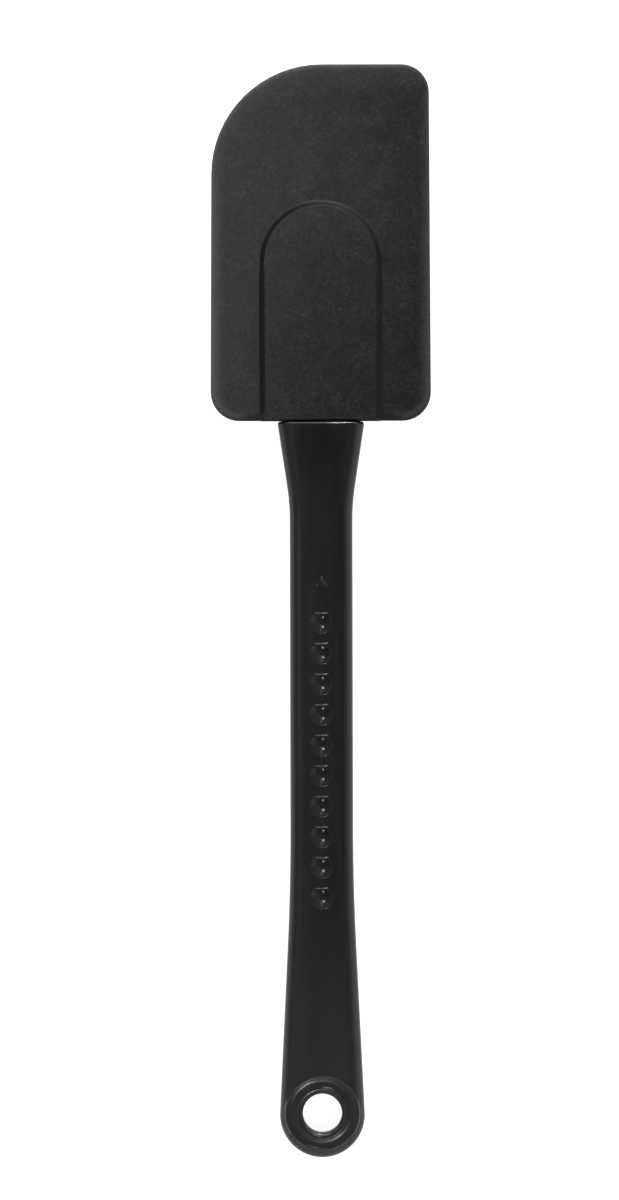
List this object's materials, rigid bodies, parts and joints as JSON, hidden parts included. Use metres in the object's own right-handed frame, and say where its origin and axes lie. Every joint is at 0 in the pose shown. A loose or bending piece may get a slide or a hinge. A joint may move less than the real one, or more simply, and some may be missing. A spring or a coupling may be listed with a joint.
{
  "type": "silicone spatula",
  "caption": "Kitchen spatula: a soft silicone blade with a swept corner, pushed on to the tongue of a moulded plastic handle that has grip beads and a hanging eye.",
  "frame": {"origin": "under the middle of the spatula's length, on the surface that the handle's flat back lies on", "axes": "+Y from the hanging eye to the blade's tip, +Z out of the front with the grip beads, +X to the side of the square corner"},
  "size_m": [0.055, 0.2732, 0.0089],
  "materials": {
    "blade_silicone": "matte, finely speckled black silicone",
    "handle_plastic": "polished black moulding"
  },
  "bodies": {
    "handle": {"handle": "handle_plastic"},
    "blade": {"silicone_blade": "blade_silicone"}
  },
  "joints": [
    {"name": "blade_pull", "type": "slide", "parent": "handle", "child": "blade", "axis": [0, 1, 0], "range_m": [0, 0.05]}
  ]
}
